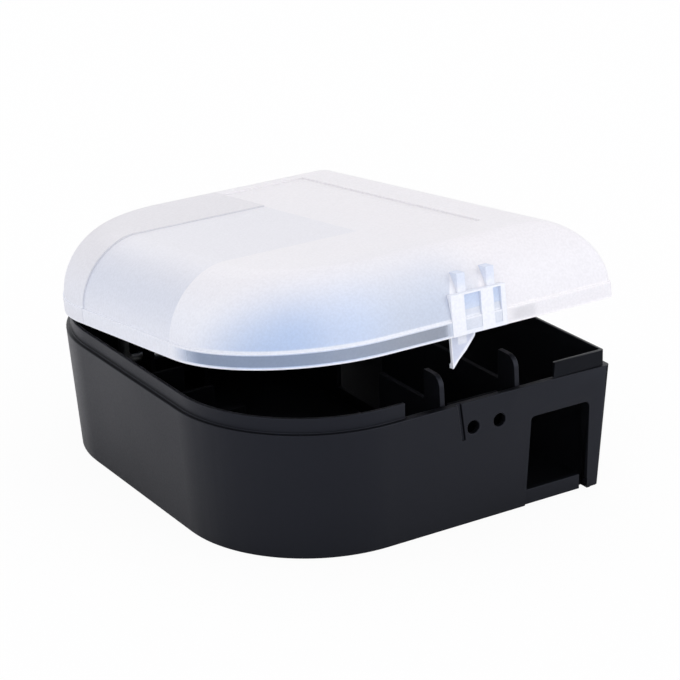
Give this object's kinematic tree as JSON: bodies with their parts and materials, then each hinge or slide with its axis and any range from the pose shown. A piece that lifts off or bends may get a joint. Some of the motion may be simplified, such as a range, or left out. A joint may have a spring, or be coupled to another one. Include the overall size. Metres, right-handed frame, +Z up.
{
  "type": "mouse bait station",
  "caption": "D-shaped mouse bait station: a black plastic tray with a runway along its flat side and two wire bait rods, under a frosted hinged lid that snaps shut at the front and stands ajar",
  "frame": {"origin": "centre of the tray's footprint, on the ground", "axes": "+X towards the flat wall side with the runway, -Y towards the latch and the front entrance, +Y towards the hinge, +Z up"},
  "size_m": [0.1153, 0.1525, 0.0775],
  "materials": {
    "tray_plastic": "black polypropylene with a fine satin moulding grain",
    "lid_plastic": "natural frosted polypropylene, translucent, smooth outside",
    "steel_wire": "drawn galvanised steel wire"
  },
  "bodies": {
    "tray": {"base_tray": "tray_plastic", "entrance_sill_front": "tray_plastic", "entrance_sill_back": "tray_plastic", "runway_partition": "tray_plastic", "chamber_baffle": "tray_plastic", "side_rod_ribs": "tray_plastic", "back_rod_ribs": "tray_plastic", "latch_tongue_root": "tray_plastic", "base_hinge_ears": "tray_plastic", "hinge_pin_left": "steel_wire", "hinge_pin_right": "steel_wire"},
    "lid": {"lid_shell": "lid_plastic", "lid_latch_block": "lid_plastic", "lid_catch_tooth": "lid_plastic", "lid_hinge_knuckles": "lid_plastic"},
    "latch": {"latch_tongue": "tray_plastic"},
    "side_rod": {"bait_rod_side": "steel_wire"},
    "back_rod": {"bait_rod_back": "steel_wire"}
  },
  "joints": [
    {"name": "lid_hinge", "type": "hinge", "parent": "tray", "child": "lid", "pos_m": [0.012, 0.07835, 0.0433], "axis": [-1, 0, 0], "range_deg": [-7, 95]},
    {"name": "latch_tongue_flex", "type": "hinge", "parent": "tray", "child": "latch", "pos_m": [0.0146, -0.06445, 0.0148], "axis": [-1, 0, 0], "range_deg": [0, 7], "stiffness_Nm_per_rad": 0.7},
    {"name": "side_rod_lift", "type": "slide", "parent": "tray", "child": "side_rod", "axis": [0, 0, 1], "range_m": [0, 0.025]},
    {"name": "back_rod_lift", "type": "slide", "parent": "tray", "child": "back_rod", "axis": [0, 0, 1], "range_m": [0, 0.025]}
  ]
}
